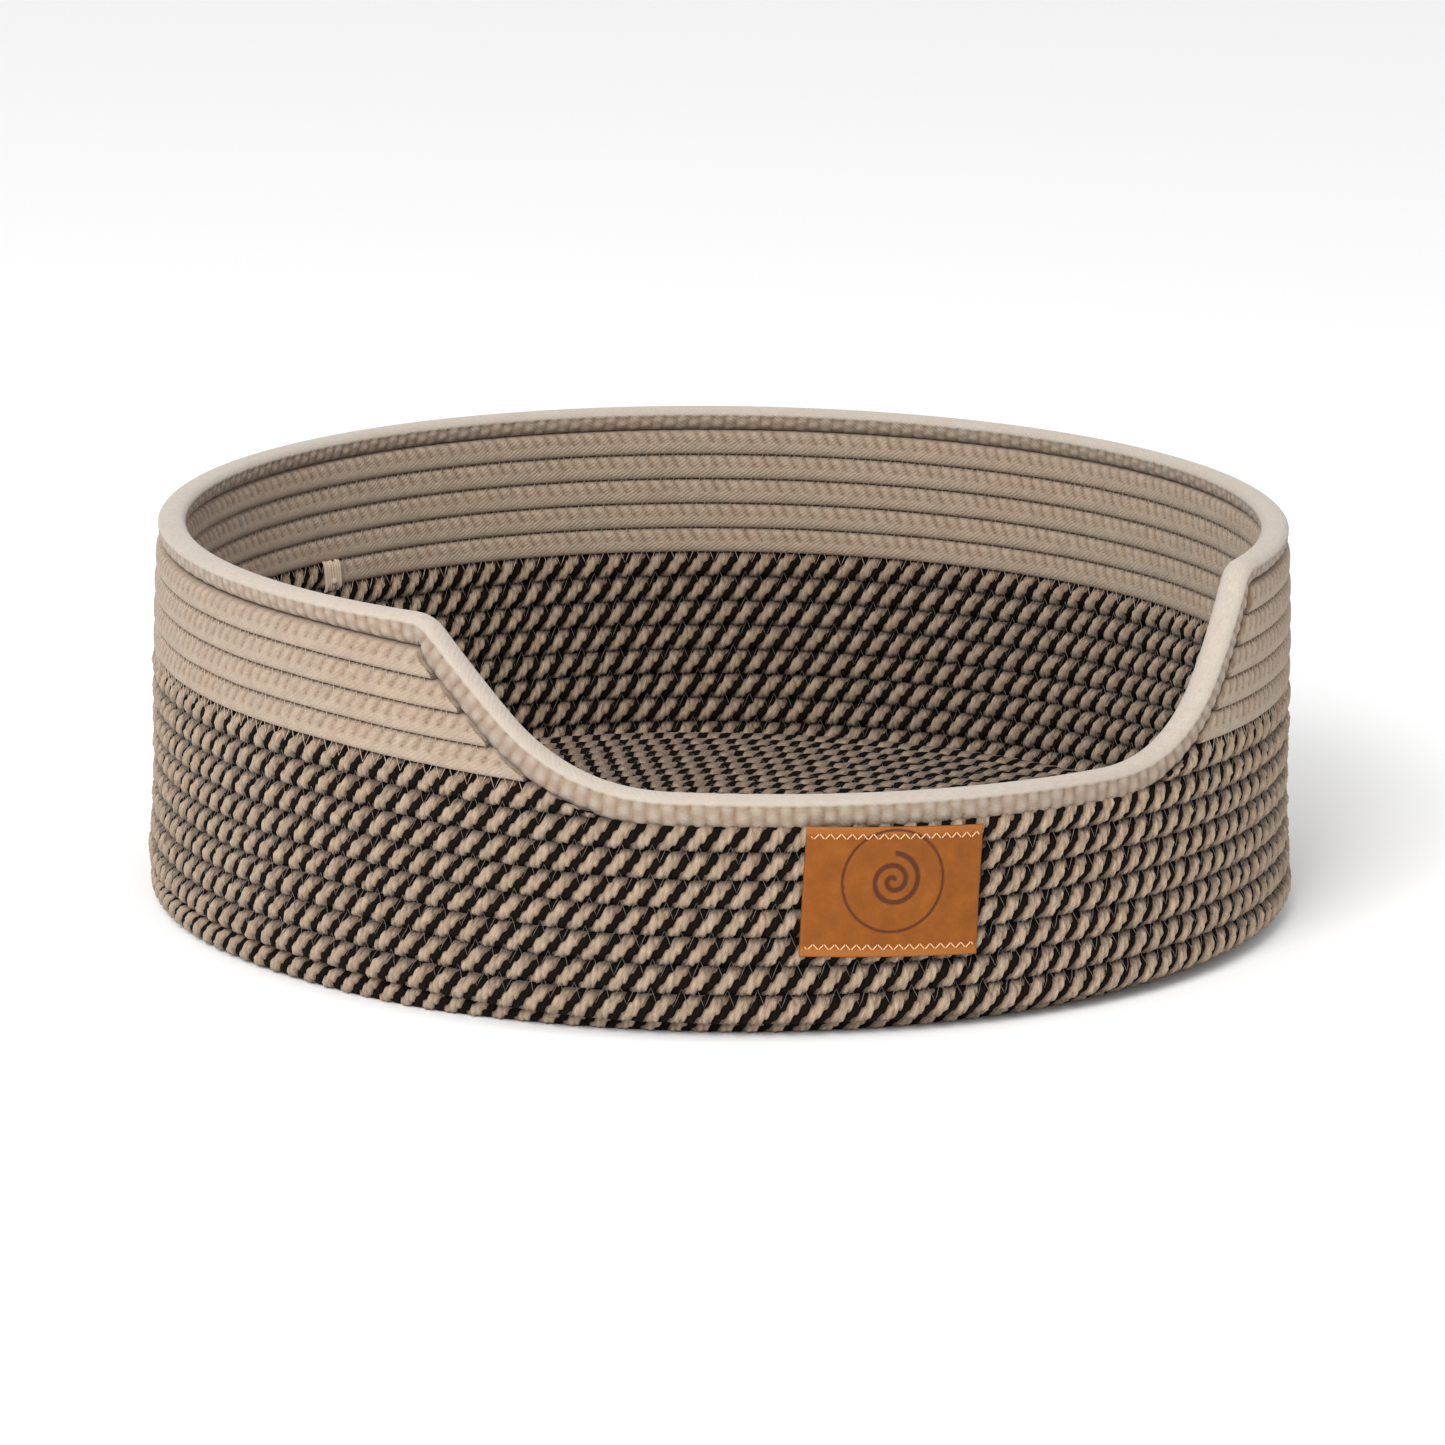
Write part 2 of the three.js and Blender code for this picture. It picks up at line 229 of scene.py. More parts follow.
rimTurn = 360 - rim["leftTopAngle"] - rim["rightTopAngle"]
leftShare = (-rim["leftTopAngle"] - coil["spliceAzimuth"]) / rimTurn
spliceRimHeight = rim["leftHeight"] + (rim["rightHeight"] - rim["leftHeight"]) * leftShare
rimCorners = [
    (np.array([along(coil["spliceAzimuth"]), spliceRimHeight]), 0),
    (np.array([along(-rim["leftTopAngle"]), rim["leftHeight"]]), rim["upperRounding"]),
    (np.array([along(-rim["leftBottomAngle"]), rim["entryLeftHeight"]]), rim["lowerRounding"]),
    (np.array([along(rim["rightBottomAngle"]), rim["entryRightHeight"]]), rim["lowerRounding"]),
    (np.array([along(rim["rightTopAngle"]), rim["rightHeight"]]), rim["upperRounding"]),
    (np.array([along(coil["spliceAzimuth"] + 360), spliceRimHeight]), 0),
]
rimLengths, rimLine = roundedLine(rimCorners, rim["step"])

# 1 along the entry, fading to 0 at its upper corners
cornerHeight = np.where(rimLine[:, 0] < 0, rim["leftHeight"], rim["rightHeight"])
nearEntry = np.abs(rimLine[:, 0]) < along(rim["leftTopAngle"] + 3)
entryShare = smoothStep(rim["fadeStart"], rim["fadeEnd"], cornerHeight - rimLine[:, 1]) * nearEntry


# height of a line beside the rim's middle, this far to its lower side, by azimuth
def rimLimit(azimuth, offset):
    tangent = unit(np.gradient(rimLine, axis=0))
    binding = rim["binding"] if offset > 0 else 0
    reach = offset + binding * entryShare
    line = rimLine + reach[:, None] * np.stack([tangent[:, 1], -tangent[:, 0]], -1)
    start = coil["spliceAzimuth"]
    wrapped = np.radians(np.mod(np.degrees(azimuth) - start, 360) + start)
    return np.interp(wrapped * rimUnroll, np.maximum.accumulate(line[:, 0]), line[:, 1])


# share of a turn covered when the rope reaches this azimuth
def partAt(azimuthDegrees):
    return ((coil["spliceAzimuth"] - azimuthDegrees) % 360) / 360


# where a turn that starts `row` rows up runs out under the rim, on either side of the entry
def entryEnd(row, side, thinnest=0.0012):
    degrees = side * np.linspace(rim["leftTopAngle"] + 5, 0, 1200)
    parts = partAt(degrees)
    room = rimLimit(np.radians(degrees), rim["height"] / 2) - undersideAt(row + parts)
    return parts[np.argmax(room < thinnest)]


# top of the highest course
def courseTopAt(azimuth):
    part = partAt(np.degrees(azimuth))
    lastRow = coil["twoToneTurns"] + coil["creamTurns"] - 1
    return undersideAt(np.where(part < partAt(0), lastRow, lastRow - 1) + part) + coil["pitch"]


scene = bpy.context.scene


def spotsOf(frames, a, b):
    middle, outward, up = frames
    return middle[:, None] + a[..., None] * outward[:, None] + b[..., None] * up[:, None]


# the rope's surface map in millimetres: u along it, v round it
def mapOf(lengths, sides, girth):
    u = np.repeat(lengths[:, None], sides + 1, 1)
    return np.stack([u, np.broadcast_to(np.linspace(0, girth, sides + 1), u.shape)], -1) * 1000


# a strip of faces rolled into a tube, kept off the ground; spots, mapped and the per-vertex darkening
# (painted shade on the ropes, stamped marks on the label) are given by station and side, and paint by face
# round the tube
def rollTube(bm, spots, mapped, shadeAndMarks=None, paint=None, closed=False):
    stations, sides = spots.shape[0] - 1, spots.shape[1] - 1
    strip = bmesh.new()
    strip.loops.layers.uv.new("ropeMap")
    bmesh.ops.create_grid(strip, x_segments=stations, y_segments=sides, size=0.5)
    mesh = bpy.data.meshes.new("strip")
    strip.to_mesh(mesh)
    strip.free()
    flat = np.empty(len(mesh.vertices) * 3)
    mesh.vertices.foreach_get("co", flat)
    flat = flat.reshape(-1, 3) + 0.5
    i = np.rint(flat[:, 0] * stations).astype(int)
    j = np.rint(flat[:, 1] * sides).astype(int)
    placed = spots[i, j]
    placed[:, 2] = np.maximum(placed[:, 2], 0)
    mesh.vertices.foreach_set("co", placed.ravel())
    # the per-vertex darkening is stored as an attribute: painted shade on the ropes, marks on the label
    depth = np.zeros(len(i)) if shadeAndMarks is None else shadeAndMarks[i, j]
    mesh.attributes.new("shadeAndMarks", "FLOAT", "POINT").data.foreach_set("value", depth)
    corner = np.empty(len(mesh.loops), np.int32)
    mesh.loops.foreach_get("vertex_index", corner)
    mesh.uv_layers["ropeMap"].data.foreach_set("uv", mapped[i[corner], j[corner]].ravel())
    if paint is not None:
        mesh.polygons.foreach_set("material_index", paint[j[corner].reshape(-1, 4).min(1)])
    tube = bmesh.new()
    tube.from_mesh(mesh)
    bpy.data.meshes.remove(mesh)
    bmesh.ops.remove_doubles(tube, verts=tube.verts[:], dist=1e-7)
    if not closed:
        ends = [e for e in tube.edges if e.is_boundary]
        for edge in ends:
            edge.smooth = False
        bmesh.ops.holes_fill(tube, edges=ends, sides=0)
    bmesh.ops.recalc_face_normals(tube, faces=tube.faces[:])
    whole = bpy.data.meshes.new("tube")
    tube.to_mesh(whole)
    tube.free()
    bm.from_mesh(whole)
    bpy.data.meshes.remove(whole)


def finishPiece(name, bm, materials, nodes=()):
    mesh = bpy.data.meshes.new(name)
    bm.to_mesh(mesh)
    bm.free()
    mesh.polygons.foreach_set("use_smooth", np.ones(len(mesh.polygons), bool))
    for material in materials:
        mesh.materials.append(material)
    mesh.update()
    piece = bpy.data.objects.new(name, mesh)
    scene.collection.objects.link(piece)
    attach(piece, "root")
    if nodes:
        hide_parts(*nodes)
    print("made", name, len(mesh.polygons), "faces")


# one zigzag seam follows the groove under every turn
stitch = {
    "period": 0.0051,
    "reach": 0.0030,           # half the zigzag's height
    "shift": -0.00045,         # it sits a little low on its groove
    "thread": 0.00012,         # radius
    "sunk": 0.0006,            # how far the needle points go in
    "bridge": 0.0012,          # how far under the rope's face the thread crosses the groove
    "wander": 0.0006,          # how far stitches stray from an even period
    "wanderLength": 0.02,
    "wallStart": 0.86,         # turn from which the groove under the wall's rope shows
    "floorStart": 0.4,         # how far inside the even turns the floor's seam starts
    "floorEnd": -2.02,         # turn where it ends
    "fewest": 10,              # a stretch with fewer points than this is left out
}


def stitchPhase(turns):
    stray = stitch["wander"] * drift(lengthAt(turns) / stitch["wanderLength"], 3)
    return (lengthAt(turns) + stray) / stitch["period"]


# how deep the thread presses the rope at height y over the middle of its seam
def pressAt(phase, y, reach, depth, width):
    f = np.abs((phase % 1) - 0.5)                       # 0 at the low needle points
    level = clamp01((y / reach + 1) / 2) / 2            # f where the thread is at this height
    across = np.abs(f - level) * stitch["period"]
    beyond = np.maximum(0, np.abs(y) - reach)
    return depth * np.exp(-((across * 0.9) ** 2 + beyond ** 2) / width ** 2)


# puffs between needle holes, 0 on the thread and 1 in the middle of a puff
def puff(phase, sharpness=0.7):
    return np.abs(np.sin(math.pi * phase)) ** sharpness


# the rope's two faces pushed in, fading out where its section turns over
def dented(a, depth):
    return a - np.sign(a) * depth * smoothStep(0.001, 0.003, np.abs(a))


print("driving shapes ready")


def nodeMaterial(name, roughness, sheen=0.0, specular=0.25):
    material = bpy.data.materials.new(name)
    material.use_nodes = True
    shader = material.node_tree.nodes["Principled BSDF"]
    shader.inputs["Roughness"].default_value = roughness
    shader.inputs["Sheen Weight"].default_value = sheen
    shader.inputs["Sheen Roughness"].default_value = 0.5
    shader.inputs["Specular IOR Level"].default_value = specular
    return material, material.node_tree.nodes, material.node_tree.links, shader


def ramp(nodes, links, source, stops):
    node = nodes.new("ShaderNodeValToRGB")
    while len(node.color_ramp.elements) < len(stops):
        node.color_ramp.elements.new(0.5)
    for element, (place, colour) in zip(node.color_ramp.elements, stops):
        element.position = place
        element.color = (*colour, 1)
    links.new(source, node.inputs["Fac"])
    return node.outputs["Color"]


def noise(nodes, links, vector, scale, detail, stretch=(1, 1, 1), rough=0.6):
    mapping = nodes.new("ShaderNodeMapping")
    mapping.inputs["Scale"].default_value = stretch
    links.new(vector, mapping.inputs["Vector"])
    node = nodes.new("ShaderNodeTexNoise")
    node.inputs["Scale"].default_value = scale
    node.inputs["Detail"].default_value = detail
    node.inputs["Roughness"].default_value = rough
    links.new(mapping.outputs["Vector"], node.inputs["Vector"])
    return node.outputs["Fac"]


def mixColour(nodes, links, share, one, two, kind="MIX"):
    node = nodes.new("ShaderNodeMix")
    node.data_type = "RGBA"
    node.blend_type = kind
    for socket, value in ((node.inputs[0], share), (node.inputs[6], one), (node.inputs[7], two)):
        if isinstance(value, (int, float)):
            socket.default_value = value
        elif isinstance(value, tuple):
            socket.default_value = (*value, 1)
        else:
            links.new(value, socket)
    return node.outputs[2]


def mathNode(nodes, links, operation, one, two=0.0):
    node = nodes.new("ShaderNodeMath")
    node.operation = operation
    for socket, value in zip(node.inputs, (one, two)):
        if isinstance(value, (int, float)):
            socket.default_value = value
        else:
            links.new(value, socket)
    return node.outputs[0]


def bumpInto(nodes, links, shader, height, strength, distance):
    bump = nodes.new("ShaderNodeBump")
    bump.inputs["Strength"].default_value = strength
    bump.inputs["Distance"].default_value = distance
    links.new(height, bump.inputs["Height"])
    links.new(bump.outputs["Normal"], shader.inputs["Normal"])


# per-vertex darkening that each piece stores: painted shade on the ropes, the stamped lines and edge line
# on the leather
def shadeAndMarksValue(nodes):
    node = nodes.new("ShaderNodeAttribute")
    node.attribute_name = "shadeAndMarks"
    return node.outputs["Fac"]


# spun cotton: fibre streaks along the rope's own map, softer blotches over the whole bed, and
# painted shade in the creases, from the darkening value that each piece stores with its shape
def cotton(name, tones, paintedShadeTone, blotch, bump=0.5, sheen=0.2, plyPeriod=1.1, specular=0.25):
    material, nodes, links, shader = nodeMaterial(name, 0.95, sheen, specular)
    own = nodes.new("ShaderNodeUVMap")
    own.uv_map = "ropeMap"
    place = nodes.new("ShaderNodeTexCoord")
    fibres = noise(nodes, links, own.outputs["UV"], 1.0, 4, (0.45, 3.2, 1))
    lint = noise(nodes, links, own.outputs["UV"], 2.4, 3, (1, 1.3, 1))
    blotches = noise(nodes, links, place.outputs["Object"], 46, 2)
    broad = noise(nodes, links, place.outputs["Object"], 260, 3)
    tone = mathNode(nodes, links, "ADD", mathNode(nodes, links, "MULTIPLY", fibres, 0.55),
                    mathNode(nodes, links, "MULTIPLY", lint, 0.45))
    colour = ramp(nodes, links, tone, list(zip((0.32, 0.5, 0.68), tones)))
    shade = ramp(nodes, links, broad, [(0.35, (1 - blotch,) * 3), (0.65, (1, 1, 1))])
    colour = mixColour(nodes, links, 1.0, colour, shade, "MULTIPLY")
    warm = ramp(nodes, links, blotches, [(0.35, (1, 0.955, 0.93)), (0.65, (0.97, 1, 0.985))])
    colour = mixColour(nodes, links, 0.7, colour, warm, "MULTIPLY")
    # painted shade: the colour is darkened where the stored value marks a crease, groove or dent
    deep = ramp(nodes, links, shadeAndMarksValue(nodes), [(0.0, (1, 1, 1)), (1.0, paintedShadeTone)])
    colour = mixColour(nodes, links, 1.0, colour, deep, "MULTIPLY")
    links.new(colour, shader.inputs["Base Color"])
    ply = nodes.new("ShaderNodeTexWave")
    ply.wave_type, ply.bands_direction = "BANDS", "DIAGONAL"
    ply.inputs["Scale"].default_value = 1 / plyPeriod / 3
    ply.inputs["Distortion"].default_value = 2.0
    ply.inputs["Detail"].default_value = 1
    links.new(own.outputs["UV"], ply.inputs["Vector"])
    fuzz = mathNode(nodes, links, "ADD", fibres, mathNode(nodes, links, "MULTIPLY", lint, 0.7))
    plies = mathNode(nodes, links, "MULTIPLY", ply.outputs["Fac"], 0.4)
    bumpInto(nodes, links, shader, mathNode(nodes, links, "ADD", plies, fuzz), bump, 0.0006)
    return material


tanCotton = cotton("tanCotton", ((0.34, 0.235, 0.15), (0.51, 0.375, 0.26), (0.67, 0.51, 0.37)),
                   (0.24, 0.17, 0.12), 0.25, bump=0.9)
blackCotton = cotton("blackCotton",
                     ((0.004, 0.0025, 0.0018), (0.0075, 0.0048, 0.0032), (0.02, 0.014, 0.01)),
                     (0.5, 0.5, 0.5), 0.2, sheen=0, specular=0.1)
creamCotton = cotton("creamCotton", ((0.375, 0.28, 0.20), (0.485, 0.37, 0.275), (0.585, 0.465, 0.355)),
                     (0.52, 0.41, 0.32), 0.16, bump=0.9)
rimCotton = cotton("rimCotton", ((0.41, 0.35, 0.295), (0.475, 0.41, 0.35), (0.53, 0.465, 0.40)),
                   (0.50, 0.375, 0.27), 0.06, bump=0.5)
greyThread = cotton("greyThread", ((0.10, 0.09, 0.08), (0.17, 0.155, 0.14), (0.26, 0.24, 0.22)),
                    (0.5, 0.5, 0.5), 0.1, bump=0.2, sheen=0.1, plyPeriod=0.4)
creamThread = cotton("creamThread", ((0.50, 0.39, 0.29), (0.60, 0.48, 0.37), (0.72, 0.60, 0.48)),
                     (0.5, 0.4, 0.3), 0.05, bump=0.3, plyPeriod=0.4)
print("materials ready")

# two-tone rope: strands twisted together, tan and black in turn
twoTone = {
    "lay": 0.0171,             # length of one full turn of its strands
    "step": 0.0007,
    "floorStep": 0.0012,
    "pairs": 2,                # each pair is one tan strand and one black
    "tanShare": 0.59,
    "tanCrest": 1.05,          # of the rope's half width
    "blackCrest": 0.90,
    "valley": 0.76,
    "contact": 1.02,           # where turns bear on each other
    "squareness": 2.6,
    "knobPeriod": 0.0026,
    "knob": 0.10,
    "knobSpread": 0.16,        # how far knobs push the strand's edges out, as an angle
    "halfHeight": 0.00482,
    "floorHalfWidth": 0.0048,
    "floorSplits": (-9.5, -5, -1),  # turns where one floor piece ends and the next starts
    "press": 0.0004,           # how deep the seam thread presses it
    "pressWidth": 0.0006,
    "pressFullShade": 0.0008,       # press at which the painted shade in its dent is full
}


# one way round the rope: angle, height over the core, place across its strand, strand and tone
def strandRing(faces):
    pair = 2 * math.pi / twoTone["pairs"]
    rows = []
    for strand in range(2 * twoTone["pairs"]):
        tone = strand % 2
        share = (twoTone["tanShare"], 1 - twoTone["tanShare"])[tone]
        begin = (strand // 2 + tone * twoTone["tanShare"]) * pair
        crest = (twoTone["tanCrest"], twoTone["blackCrest"])[tone]
        for k in range(faces):
            x = 2 * k / faces - 1
            height = twoTone["valley"] + (crest - twoTone["valley"]) * math.sqrt(1 - x * x)
            rows.append((begin + share * pair * k / faces, height, x, strand, tone))
    rows.append((2 * math.pi, *rows[0][1:]))
    return np.array(rows).T


def squareness(angle, power):
    return (np.abs(np.cos(angle)) ** power + np.abs(np.sin(angle)) ** power) ** (-1 / power)


# knobs along the tan strand of a pair, at distance s along the rope and x across the strand
def knobAt(s, x, pair):
    place = 2 * math.pi * s / twoTone["knobPeriod"] + 3 * drift(s / 0.01 + 3 * pair, 11) + 2.4 * pair
    return np.sin(place + 0.9 * x) + 0.25 * drift(s / 0.0011 + 9 * pair, 7)


def twoToneSection(turns, lengths, faces, halfWidth, halfHeight, stitched):
    angles, crests, x, strand, tone = strandRing(faces)
    s = lengths[:, None]
    twist = 2 * math.pi * s / twoTone["lay"] + 0.3 * drift(s / 0.03, 5)
    pair = np.floor(strand / 2)
    own, following = knobAt(s, x, pair), knobAt(s, x, (pair + 1) % twoTone["pairs"])
    spread = np.where(tone == 0, x * own, (own * (1 - x) - following * (1 + x)) / 2)
    angle = angles[None] - twist + twoTone["knobSpread"] * spread
    bulge = own * (1 - 0.7 * x * x) * np.where(tone == 0, 1, 0.35)
    crest = crests[None] + twoTone["knob"] * bulge + 0.03 * drift(s / 0.004 + strand * 4, 13)
    bearing = smoothStep(0.80, 0.95, np.abs(np.sin(angle)))
    relief = crest
    crest = crest + (twoTone["contact"] - crest) * bearing
    size = squareness(angle, twoTone["squareness"]) * crest
    a = halfWidth * size * np.cos(angle)
    b = halfHeight * size * np.sin(angle)
    # painted shade in the valleys between strands and in the grooves between turns
    shadeAndMarks = 0.8 * smoothStep(0.04, 0.26, twoTone["tanCrest"] - relief)
    shadeAndMarks = np.maximum(shadeAndMarks, smoothStep(0.70, 0.98, np.abs(b) / (coil["pitch"] / 2)))
    if stitched:
        middle = coil["pitch"] / 2
        for phaseTurns, y in ((turns + 1, b - middle), (turns, b + middle)):
            phase = stitchPhase(phaseTurns)[:, None]
            press = pressAt(phase, y - stitch["shift"], stitch["reach"], twoTone["press"],
                            twoTone["pressWidth"])
            a = dented(a, press)
            # painted shade in the dents that the thread presses
            shadeAndMarks = np.maximum(shadeAndMarks, press / twoTone["pressFullShade"])
    for ring in (a, b, shadeAndMarks):
        ring[:, -1] = ring[:, 0]
    return a, b, shadeAndMarks, tone.astype(np.int32)


# turns that the entry cuts are squeezed down under the rim
def underRim(frames, a, b):
    spots = spotsOf(frames, a, b)
    limit = rimLimit(np.arctan2(spots[..., 0], -spots[..., 1]), rim["height"] / 2 - rim["overlap"])
    return b - np.maximum(0, spots[..., 2] - limit) / frames[2][:, None, 2]


def twoTonePiece(name, node, start, end, step, halfWidth, halfHeight, cut=False, faces=5):
    turns, lengths = stationsBetween(start, end, step)
    frames = pathFrames(azimuthAt(turns), *ropeMiddle(turns), True)
    a, b, shadeAndMarks, paint = twoToneSection(turns, lengths, faces, halfWidth, halfHeight, start >= 0)
    if cut:
        b = underRim(frames, a, b)
    bm = bmesh.new()
    rollTube(bm, spotsOf(frames, a, b), mapOf(lengths, a.shape[1] - 1, coil["girth"]), shadeAndMarks, paint)
    finishPiece(name, bm, [tanCotton, blackCotton], [node])


half = coil["ropeWidth"] / 2
floorHalfHeight = coil["floorRopeHeight"] / 2 / twoTone["tanCrest"]
floorEnds = [innerEnd, *twoTone["floorSplits"]]
for index, (start, end) in enumerate(zip(floorEnds, floorEnds[1:])):
    twoTonePiece(f"floor_rope_{index + 1}", "floor_coil", start, end, twoTone["floorStep"],
                 twoTone["floorHalfWidth"], floorHalfHeight, faces=3)
twoTonePiece("floor_edge_rope", "floor_edge_turn", -1, 0, twoTone["step"],
             twoTone["floorHalfWidth"], floorHalfHeight)
for row in range(coil["twoToneTurns"] - 1):
    twoTonePiece(f"two_tone_rope_{row + 1}", f"two_tone_turn_{row + 1}", row, row + 1,
                 twoTone["step"], half, twoTone["halfHeight"])
topRow = coil["twoToneTurns"] - 1
rightEnd, leftStart = topRow + entryEnd(topRow, 1), topRow + entryEnd(topRow, -1)
for side, start, end in (("right", topRow, rightEnd), ("left", leftStart, topRow + 1)):
    twoTonePiece(f"two_tone_rope_8_{side}", f"two_tone_turn_8_{side}", start, end,
                 twoTone["step"], half, twoTone["halfHeight"], cut=True)

# plain cream rope, puffed up between the stitches of the seam over it
cream = {
    "step": 0.00095,
    "halfHeight": 0.00485,
    "squareness": 3.5,
    "puff": 0.0010,            # depth of the puffs along the upper part of each turn
    "dent": 0.0006,            # depth of the needle holes under them
    "dentAt": 0.08,            # their height, as a share of the half height
    "dentHeight": 0.13,
    "dentWidth": 0.0007,
    "slant": 0.45,
}


# section angles crowded on the two faces that show
def faceAngles(perFace, perEdge, corner=54):
    face = np.linspace(-corner, corner, perFace + 1)
    edge = np.linspace(corner, 180 - corner, perEdge + 1)[1:-1]
    ring = np.concatenate([face, edge, face + 180, edge + 180, [360 - corner]])
    return np.radians(ring)


def creamSection(turns, lengths, halfWidth, halfHeight):
    angle = faceAngles(13, 2)[None]
    s = lengths[:, None]
    size = squareness(angle, cream["squareness"])
    size = size * (1 + 0.012 * drift(s / 0.006 + 3 * np.cos(angle), 17))
    a = halfWidth * size * np.cos(angle)
    b = halfHeight * size * np.sin(angle)
    height = b / (coil["pitch"] / 2)
    phase = stitchPhase(turns + 1)[:, None] + cream["slant"] * (height - 0.6)
    upper = smoothStep(-0.15, 0.3, height) * (0.85 + 0.3 * drift(np.floor(phase) * 1.7, 23))
    furrow = (1 - puff(phase)) * upper
    fromHole = np.abs((phase + 0.5) % 1 - 0.5) * stitch["period"] / cream["dentWidth"]
    hole = np.exp(-fromHole ** 2 - ((height - cream["dentAt"]) / cream["dentHeight"]) ** 2)
    a = dented(a, cream["puff"] * furrow + cream["dent"] * hole)
    # painted shade in the furrows between puffs, in the needle holes and in the grooves between turns
    shadeAndMarks = np.maximum(0.95 * furrow, 0.9 * hole)
    shadeAndMarks = np.maximum(shadeAndMarks, smoothStep(0.88, 1.0, np.abs(height)))
    for ring in (a, b, shadeAndMarks):
        ring[:, -1] = ring[:, 0]
    return a, b, shadeAndMarks


for course in range(coil["creamTurns"]):
    row = coil["twoToneTurns"] + course
    start = row if course == 0 else row - 1 + entryEnd(row - 1, -1)
    turns, lengths = stationsBetween(start, row + entryEnd(row, 1), cream["step"])
    frames = pathFrames(azimuthAt(turns), *ropeMiddle(turns), True)
    a, b, shadeAndMarks = creamSection(turns, lengths, half, cream["halfHeight"])
    spots = spotsOf(frames, a, underRim(frames, a, b))
    bm = bmesh.new()
    rollTube(bm, spots, mapOf(lengths, a.shape[1] - 1, coil["girth"]), shadeAndMarks)
    finishPiece(f"cream_rope_{course + 1}", bm, [creamCotton],
                [f"cream_course_{course + 1}"])

# the rim rope, smooth on top and ribbed below where its stitches bind it
rimStitch = {
    "period": 0.00475,
    "top": 0.0012,             # over the rim's middle: the stitches bind everything below this
    "topFade": 0.0006,
    "press": 0.0003,           # how much the binding narrows the rope
    "furrow": 0.0009,          # depth between one bound rib and the next
    "bead": 0.0036,
    "slant": 0.35,
    "clearance": 0.0002,       # left between the binding and the courses under it
}
ribCount = round(rimLengths[-1] / rimStitch["period"])
rimFrames = pathFrames(rimLine[:, 0] / rimUnroll, outerRadius(rimLine[:, 1]) - rim["width"] / 2,
                       rimLine[:, 1], False)
for part in rimFrames:
    part[-1] = part[0]
angle = faceAngles(15, 4)[None]
size = squareness(angle, rim["squareness"])
a = rim["width"] / 2 * size * np.cos(angle) + 0 * rimLengths[:, None]
b = rim["height"] / 2 * size * np.sin(angle) + 0 * rimLengths[:, None]
phase = (rimLengths / rimLengths[-1] * ribCount)[:, None] + rimStitch["slant"] * b / rim["height"]
bound = 1 - smoothStep(rimStitch["top"] - rimStitch["topFade"], rimStitch["top"] + rimStitch["topFade"], b)
depth = 1 + 0.25 * drift(np.floor(phase) * 2.1, 29)
beads = 0.8 + 0.2 * np.cos(2 * math.pi * b / rimStitch["bead"] + math.pi * np.floor(phase))
furrow = (1 - beads * puff(phase, 0.6)) * bound * depth
a = dented(a, rimStitch["furrow"] * furrow + rimStitch["press"] * bound)
# painted shade in the furrows between ribs, and darker over the pressed, bound lower side
shadeAndMarks = clamp01(0.65 * furrow + 0.35 * bound)
b = b - rim["binding"] * entryShare[:, None] * clamp01(-b / (rim["height"] / 2))
spots = spotsOf(rimFrames, a, b)
# the binding is drawn down on to the courses where they drop away under it
azimuth = np.arctan2(spots[..., 0], -spots[..., 1])
foot = rimLimit(azimuth, rim["height"] / 2 + rimStitch["clearance"])
slack = np.maximum(0, foot - courseTopAt(azimuth))
below = clamp01((rimLimit(azimuth, 0) - spots[..., 2]) / (rim["height"] / 2))
spots[..., 2] -= slack * below
for ring in (spots, shadeAndMarks):
    ring[:, -1] = ring[:, 0]
    ring[-1] = ring[0]
bm = bmesh.new()
rollTube(bm, spots, mapOf(rimLengths, spots.shape[1] - 1, rim["girth"]), shadeAndMarks, closed=True)
finishPiece("rim_rope_bound", bm, [rimCotton], ["rim_rope"])


def threadTube(bm, middle, normal, radius, sides=3):
    tangent = unit(np.gradient(middle, axis=0))
    across = unit(np.cross(tangent, normal))
    turn = np.linspace(0, 2 * math.pi, sides + 1)
    ring = radius * np.ones((len(middle), 1))
    lengths = np.concatenate([[0], np.cumsum(np.linalg.norm(np.diff(middle, axis=0), axis=1))])
    spots = spotsOf((middle, normal, across), ring * np.cos(turn)[None], ring * np.sin(turn)[None])
    spots[:, -1] = spots[:, 0]
    rollTube(bm, spots, mapOf(lengths, sides, 2 * math.pi * radius))


# height of the rope's face above its middle at a distance across it
def faceHeight(across, halfAcross, halfThrough, power=2.6):
    return halfThrough * clamp01(1 - (np.abs(across) / halfAcross) ** power) ** (1 / power)


def seamPoints(start, end, perPeriod):
    low, high = np.interp([start, end], turnTable, stitchPhase(turnTable))
    phases = np.arange(math.ceil(low * perPeriod), math.floor(high * perPeriod)) / perPeriod
    turns = np.interp(phases, stitchPhase(turnTable), turnTable)
    return turns, 4 * np.abs(phases % 1 - 0.5) - 1


# how far the thread stands over the rope's middle while it zigzags over a groove
def threadLift(across, zigzag, halfThrough):
    fromMiddle = np.where(across < 0, coil["pitch"] / 2 + across, across - coil["pitch"] / 2)
    face = faceHeight(fromMiddle, coil["pitch"] / 2, halfThrough)
    lift = np.maximum(face, halfThrough - stitch["bridge"])
    return lift - stitch["sunk"] * (np.abs(zigzag) > 0.9)


# thread over the groove under the wall's rope, wherever it shows below the rim
def wallSeam(bm, start, end, side):
    turns, zigzag = seamPoints(start, end, perPeriod=6)
    across = stitch["shift"] + stitch["reach"] * zigzag
    radius, _ = ropeMiddle(np.where(across < 0, turns - 1, turns))
    lift = threadLift(across, zigzag, half)
    azimuth = azimuthAt(turns)
    z = undersideAt(turns) + across
    keep = z < rimLimit(azimuth, rim["height"] / 2)
    if keep.sum() < stitch["fewest"]:
        return
    azimuth, radius, lift, z = azimuth[keep], radius[keep], lift[keep], z[keep]
    normal = side * onRound(azimuth, np.ones_like(azimuth), 0)
    threadTube(bm, onRound(azimuth, radius + side * lift, z), normal, stitch["thread"])


